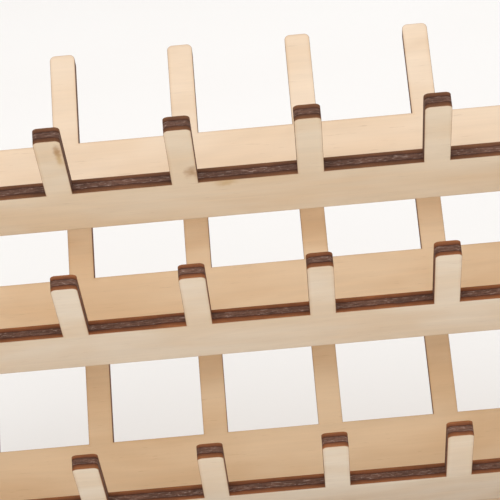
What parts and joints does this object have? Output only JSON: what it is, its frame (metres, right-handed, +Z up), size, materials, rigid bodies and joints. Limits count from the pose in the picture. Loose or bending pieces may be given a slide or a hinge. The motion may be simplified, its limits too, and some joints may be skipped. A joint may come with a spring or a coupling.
{
  "type": "paint rack organizer",
  "caption": "Laser-cut plywood rack with stacked tiers of facing combs in a V between side panels, for paint bottles lying level from front to back.",
  "frame": {"origin": "on the ground, under the middle of the rack", "axes": "+X along the rack to its right, +Y to its back, +Z up"},
  "size_m": [0.3616, 0.111, 0.1913],
  "materials": {
    "front_comb_ply": "bare sanded birch plywood, laser-burnt edges",
    "back_comb_ply": "bare sanded birch plywood, laser-burnt edges",
    "panel_ply": "bare sanded birch plywood, laser-burnt edges",
    "rail_ply": "bare sanded birch plywood, laser-burnt edges"
  },
  "bodies": {
    "root": {"side_panel_left": "panel_ply", "side_panel_right": "panel_ply", "front_comb_bottom": "front_comb_ply", "back_comb_bottom": "back_comb_ply", "front_comb_middle": "front_comb_ply", "back_comb_middle": "back_comb_ply", "front_comb_top": "front_comb_ply", "back_comb_top": "back_comb_ply", "base_rail_front": "rail_ply", "base_rail_back": "rail_ply"}
  },
  "joints": []
}
